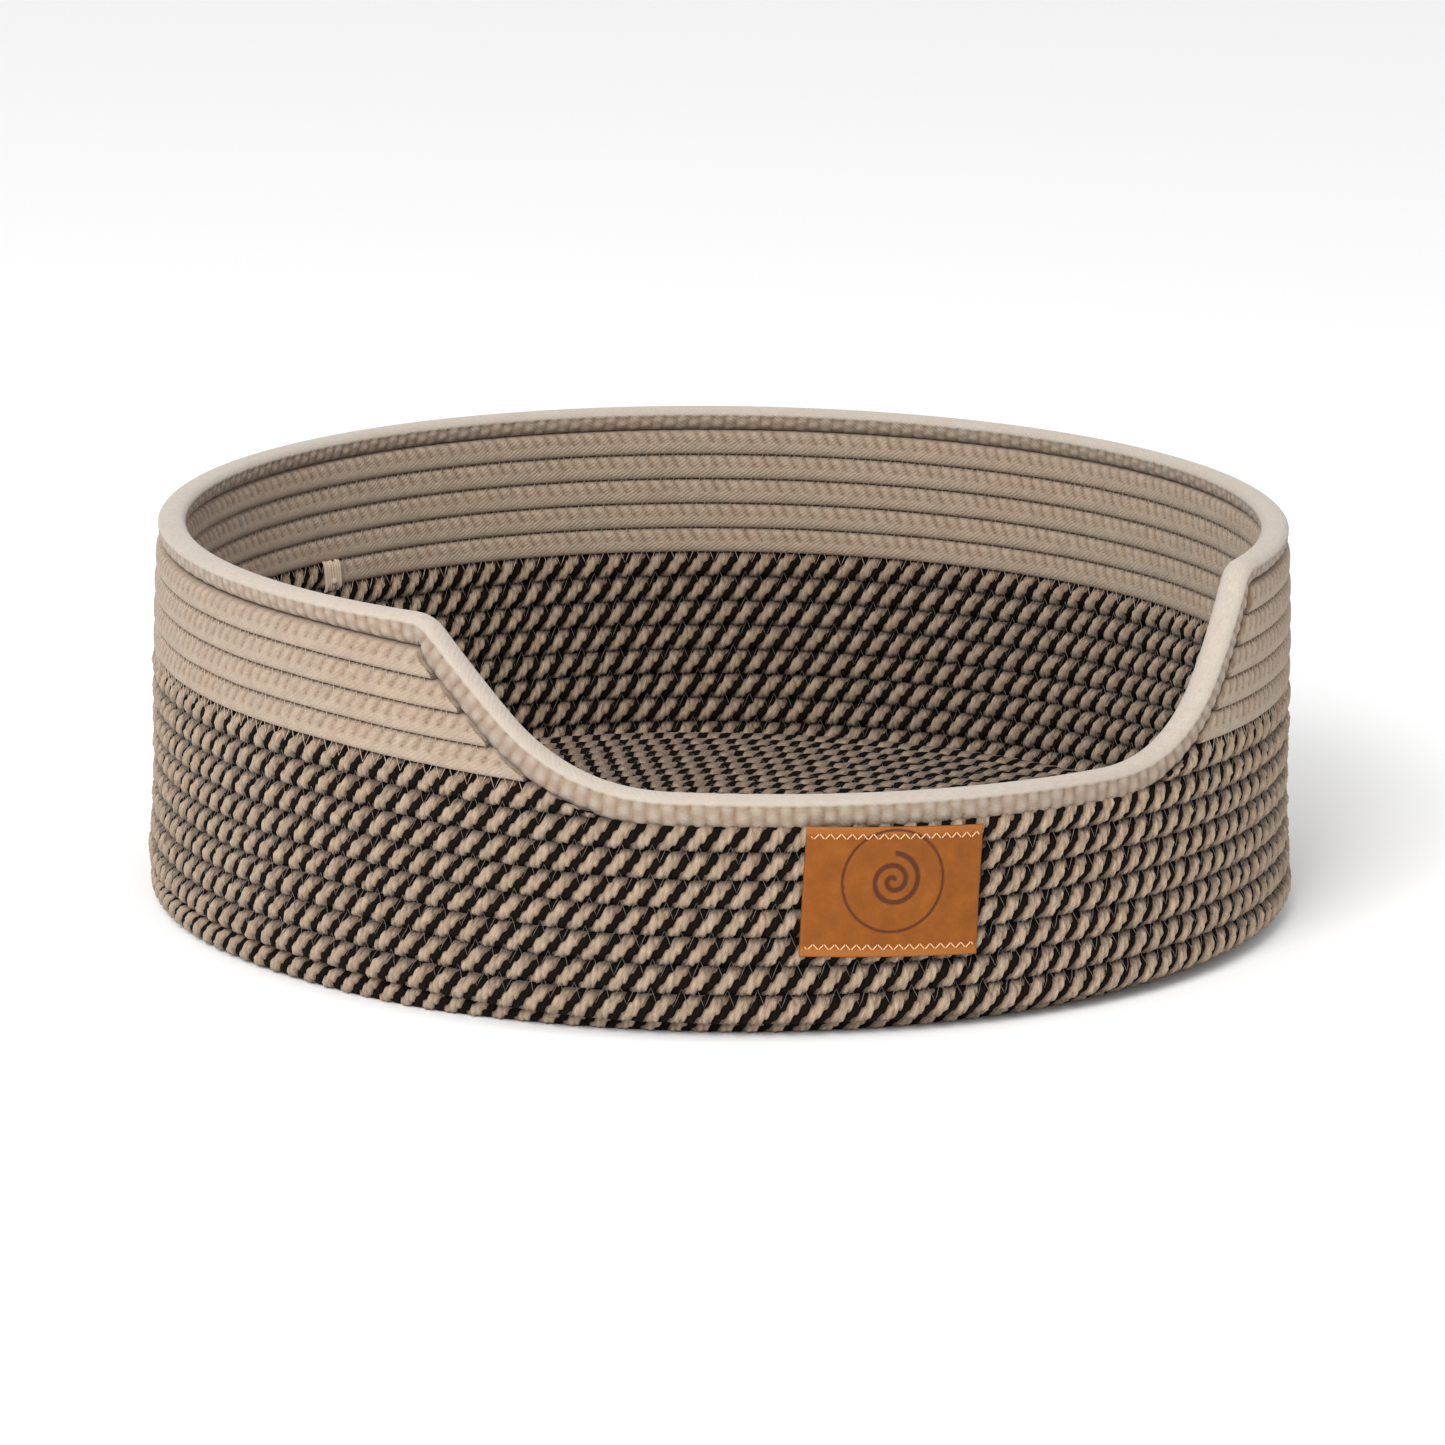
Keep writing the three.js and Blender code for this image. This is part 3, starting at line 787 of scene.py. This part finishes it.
twoToneStretches = [(stitch["wallStart"], rightEnd), (leftStart, topRow + 1)]
creamStretches = [(topRow + 1, topRow + 1 + entryEnd(topRow + 1, 1))]
for course in range(1, coil["creamTurns"]):
    row = coil["twoToneTurns"] + course
    creamStretches.append((row - 1 + entryEnd(row - 1, -1), row + entryEnd(row, 1)))
for place, side in (("outside", 1), ("inside", -1)):
    for tone, stretches, material in (("two_tone", twoToneStretches, greyThread),
                                      ("cream", creamStretches, creamThread)):
        bm = bmesh.new()
        for start, end in stretches:
            wallSeam(bm, start, end, side)
        finishPiece(f"{tone}_seams_{place}", bm, [material])

# the floor's seams, on top and underneath
for place, side in (("top", 1), ("underneath", -1)):
    turns, zigzag = seamPoints(-stitch["floorStart"] - coil["floorTurns"], stitch["floorEnd"], perPeriod=4)
    across = stitch["reach"] * zigzag
    radius = (ropeMiddle(turns)[0] + ropeMiddle(turns + 1)[0]) / 2
    lift = threadLift(across, zigzag, coil["floorRopeHeight"] / 2)
    z = coil["floorRopeHeight"] / 2 + side * lift
    azimuth = azimuthAt(turns)
    normal = np.broadcast_to(np.array([0.0, 0, side]), (len(turns), 3))
    bm = bmesh.new()
    threadTube(bm, onRound(azimuth, radius + across, z), normal, stitch["thread"])
    finishPiece(f"floor_seams_{place}", bm, [greyThread])

# the leather label, stamped with a coil in a ring, and its two rows of stitches
label = {
    "width": 0.0615,
    "height": 0.0445,
    "thickness": 0.0015,
    "azimuth": -1.4,
    "middle": 0.0498,
    "tilt": 2.7,               # degrees, right side low
    "lift": 0.0002,            # its back over the wall
    "cell": 0.0004,            # size of its faces
    "ringRadius": 0.0174,      # a stamped ring, its middle and the width of its line
    "ringMiddle": (-0.0003, 0.0037),
    "ringLine": 0.001,
    "coilPitch": 0.0042,       # the stamped mark is a small coil of rope
    "coilTurns": 2.25,
    "coilLine": 0.0019,
    "stampDepth": 0.0002,
    "edgeDepth": 0.0004,       # how far its edges are worn down, and over what width
    "edgeWidth": 0.0006,
    "edgeDark": 0.0004,        # width of the darker line along them
    "stitchInset": 0.0034,
    "stitchPeriod": 0.00364,
    "stitchHeight": 0.0020,
    "stitchThread": 0.00023,
    "stitchMargin": 0.003,     # left free of stitches along a row, both ends together
    "stitchPress": 0.00012,    # how far a row of stitches presses the leather, and its softness
    "pressWidth": 0.0006,
    "stitchOver": 0.0001,      # the thread's middle over the leather
    "stitchSunk": 0.0007,      # how far it dips at each needle hole
}


# a point on the label, from its middle, laid on the wall
def onLabel(x, y, lift):
    tilt = math.radians(label["tilt"])
    z = label["middle"] + y * math.cos(tilt) - x * math.sin(tilt)
    sideways = x * math.cos(tilt) + y * math.sin(tilt)
    azimuth = math.radians(label["azimuth"]) + sideways / coil["wallRadius"]
    return onRound(azimuth, outerRadius(z) + label["lift"] + lift, z)


# 1 on the stamped lines, 0 off them
def stampAt(x, y):
    x, y = x - label["ringMiddle"][0], y - label["ringMiddle"][1]
    r, turn = np.hypot(x, y), np.arctan2(y, x) / (2 * math.pi)
    ring = 1 - smoothStep(0.6, 1.3, np.abs(r - label["ringRadius"]) / (label["ringLine"] / 2))
    count = np.clip(np.rint(r / label["coilPitch"] - turn), -np.floor(turn), None)
    count = np.where(count + turn > label["coilTurns"], count - 1, count)
    onCoil = np.abs(r - label["coilPitch"] * (count + turn))
    mark = 1 - smoothStep(0.7, 1.15, onCoil / (label["coilLine"] / 2))
    return np.maximum(ring, mark)


def leatherMaterial():
    material, nodes, links, shader = nodeMaterial("leather", 0.55, specular=0.2)
    own = nodes.new("ShaderNodeUVMap")
    own.uv_map = "ropeMap"
    grain = noise(nodes, links, own.outputs["UV"], 2.6, 5)
    cloud = noise(nodes, links, own.outputs["UV"], 0.12, 3)
    colour = ramp(nodes, links, cloud, [(0.3, (0.20, 0.056, 0.004)), (0.55, (0.24, 0.071, 0.006)),
                                        (0.75, (0.285, 0.09, 0.009))])
    speckle = ramp(nodes, links, grain, [(0.35, (0.86, 0.82, 0.8)), (0.6, (1, 1, 1))])
    colour = mixColour(nodes, links, 1.0, colour, speckle, "MULTIPLY")
    # paler outside the two rows of stitches
    apart = nodes.new("ShaderNodeSeparateXYZ")
    links.new(own.outputs["UV"], apart.inputs[0])
    edgeHeight = mathNode(nodes, links, "MULTIPLY", apart.outputs["Y"], 0.02)
    strip = ramp(nodes, links, mathNode(nodes, links, "ABSOLUTE", edgeHeight),
                 [(0.37, (0, 0, 0)), (0.40, (0.8, 0.8, 0.8))])
    colour = mixColour(nodes, links, strip, colour, (0.32, 0.11, 0.022))
    colour = mixColour(nodes, links, shadeAndMarksValue(nodes), colour, (0.07, 0.017, 0.007))
    links.new(colour, shader.inputs["Base Color"])
    links.new(mathNode(nodes, links, "ADD", mathNode(nodes, links, "MULTIPLY", grain, 0.3), 0.38),
              shader.inputs["Roughness"])
    bumpInto(nodes, links, shader, grain, 0.35, 0.0003)
    return material


leather = leatherMaterial()

# x runs across the label, y up its front and down again behind it
columns, rows = (round(label[side] / label["cell"]) for side in ("width", "height"))
x = np.linspace(-0.5, 0.5, columns + 1) * label["width"]
front = np.linspace(-0.5, 0.5, rows + 1) * label["height"]
y = np.concatenate([front, np.linspace(0.5, -0.5, 9)[1:] * label["height"], front[:1]])
isFront = np.arange(len(y)) <= rows
edge = np.minimum(label["width"] / 2 - np.abs(x)[:, None], label["height"] / 2 - np.abs(y)[None])
stamp = stampAt(x[:, None], y[None]) * isFront
fromRow = np.abs(np.abs(y)[None] - (label["height"] / 2 - label["stitchInset"]))
pressed = np.exp(-(np.maximum(0, fromRow - label["stitchHeight"] / 2) / label["pressWidth"]) ** 2)
worn = clamp01(1 - edge / label["edgeWidth"]) ** 2
lift = label["thickness"] - label["stampDepth"] * stamp - label["stitchPress"] * pressed
lift = np.where(isFront, lift - label["edgeDepth"] * worn, 0)
lift[:, -1] = lift[:, 0]
shadeAndMarks = np.maximum(0.92 * stamp, 0.35 * isFront * clamp01(1 - edge / label["edgeDark"]))
shadeAndMarks[:, -1] = shadeAndMarks[:, 0]
bm = bmesh.new()
labelMap = np.stack(np.broadcast_arrays(x[:, None], y[None]), -1) * 1000
rollTube(bm, onLabel(x[:, None] + 0 * lift, y[None] + 0 * lift, lift), labelMap, shadeAndMarks)
finishPiece("label_leather", bm, [leather], ["label_patch"])

threadCotton = cotton("labelThread", ((0.55, 0.30, 0.15), (0.72, 0.42, 0.22), (0.85, 0.56, 0.34)),
                      (0.5, 0.4, 0.3), 0.05, bump=0.3, plyPeriod=0.4)
for place, sign in (("top", 1), ("bottom", -1)):
    count = round((label["width"] - label["stitchMargin"]) / label["stitchPeriod"])
    phases = np.arange(0, count * 12 + 1) / 12
    zigzag = 4 * np.abs((phases + 0.25) % 1 - 0.5) - 1
    x = (phases - count / 2) * label["stitchPeriod"]
    y = sign * (label["height"] / 2 - label["stitchInset"]) + label["stitchHeight"] / 2 * zigzag
    dip = label["stitchSunk"] * (np.abs(zigzag) > 0.95)
    middle = onLabel(x, y, label["thickness"] + label["stitchOver"] - dip)
    normal = onRound(np.arctan2(middle[:, 0], -middle[:, 1]), 1, 0)
    bm = bmesh.new()
    threadTube(bm, middle, normal, label["stitchThread"], sides=6)
    finishPiece(f"label_thread_{place}", bm, [threadCotton],
                [f"label_stitches_{place}"])

# whipping stitches over the splice inside the back wall, and a small knot among them
splice = {
    "stitches": 7,
    "apart": 0.00125,
    "reach": 0.0056,           # half a stitch's length
    "thread": 0.0007,
    "bulge": 0.0011,           # how far the stitches stand out over the rope
    "sunk": 0.0006,            # how far their ends go in
    "lean": 0.0006,
    "unevenLength": 0.08,
    "unevenPlace": 0.0002,
    "knot": 0.0013,
    "knotOut": 0.0012,
    "knotDrop": 0.002,
}
middleHeight = undersideAt(coil["twoToneTurns"]) + coil["pitch"] / 2
innerFace = outerRadius(middleHeight) - coil["ropeWidth"]
bm = bmesh.new()
for k in range(splice["stitches"]):
    across = (k - (splice["stitches"] - 1) / 2) * splice["apart"]
    t = np.linspace(-1, 1, 15)
    z = middleHeight + splice["reach"] * t * (1 + splice["unevenLength"] * math.sin(k * 2.3))
    sideways = across + splice["lean"] * t + splice["unevenPlace"] * math.sin(k * 5.1)
    azimuth = math.radians(coil["spliceAzimuth"]) + sideways / innerFace
    radius = innerFace - splice["bulge"] * (1 - t ** 6) + splice["sunk"]
    normal = -onRound(azimuth, np.ones_like(azimuth), 0)
    threadTube(bm, onRound(azimuth, radius, z), normal, splice["thread"], sides=8)
finishPiece("splice_stitches", bm, [creamThread], ["splice_whipping"])
bm = bmesh.new()
spot = onRound(np.radians(coil["spliceAzimuth"]), innerFace - splice["knotOut"],
               middleHeight - splice["knotDrop"])
bmesh.ops.create_uvsphere(bm, u_segments=20, v_segments=12, radius=splice["knot"],
                          matrix=Matrix.Translation(spot.tolist()))
bm.loops.layers.uv.new("ropeMap")  # the cotton looks for a map of this name
finishPiece("splice_knot", bm, [rimCotton], ["splice_whipping"])
print("label and splice ready")

# floor, light and camera
studio = {
    "floorSize": 12,
    "floorTone": 0.95,
    "key": 84,                 # watts
    "keyPlace": (-1.6, -2.0, 1.9),
    "keyTarget": (0, 0, 0.05),
    "keySize": 1.5,
    "fill": 0.85,
    "distance": 2.3452,        # camera to the bed's axis at the target height
    "target": 0.06025,
    "azimuth": -17.8,
    "elevation": 13.506,
    "lens": 161.86,
    "shift": (0.00097, -0.0016),
    "roll": 0.01275,
}
bm = bmesh.new()
bmesh.ops.create_grid(bm, x_segments=1, y_segments=1, size=studio["floorSize"] / 2,
                      matrix=Matrix.Translation((0, 0, -0.0001)))
mesh = bpy.data.meshes.new("floor")
bm.to_mesh(mesh)
bm.free()
floorMaterial, nodes, links, shader = nodeMaterial("paleFloor", 0.9)
shader.inputs["Base Color"].default_value = (*(studio["floorTone"],) * 3, 1)
mesh.materials.append(floorMaterial)
floor = bpy.data.objects.new("floor", mesh)
scene.collection.objects.link(floor)

world = bpy.data.worlds.new("studio")
world.use_nodes = True
world.node_tree.nodes["Background"].inputs["Color"].default_value = (1, 1, 1, 1)
world.node_tree.nodes["Background"].inputs["Strength"].default_value = studio["fill"]
scene.world = world
scene.view_settings.view_transform = "Standard"


def areaLight(name, place, target, size, power):
    light = bpy.data.lights.new(name, "AREA")
    light.size, light.energy = size, power
    lamp = bpy.data.objects.new(name, light)
    lamp.location = place
    lamp.rotation_euler = (Vector(target) - Vector(place)).to_track_quat("-Z", "Y").to_euler()
    scene.collection.objects.link(lamp)


areaLight("key", studio["keyPlace"], studio["keyTarget"], studio["keySize"], studio["key"])

camera = bpy.data.objects.new("camera", bpy.data.cameras.new("camera"))
camera.data.sensor_width = 36
camera.data.lens = studio["lens"]
camera.data.shift_x, camera.data.shift_y = studio["shift"]
camera.data.clip_start, camera.data.clip_end = 0.1, 50
bearing, elevation = math.radians(studio["azimuth"]), math.radians(studio["elevation"])
away = Vector((math.sin(bearing) * math.cos(elevation), -math.cos(bearing) * math.cos(elevation),
               math.sin(elevation)))
camera.location = Vector((0, 0, studio["target"])) + studio["distance"] * away
turned = (-away).to_track_quat("-Z", "Y").to_matrix() @ Matrix.Rotation(studio["roll"], 3, "Z")
camera.rotation_euler = turned.to_euler()
scene.collection.objects.link(camera)
scene.camera = camera
print("studio ready")
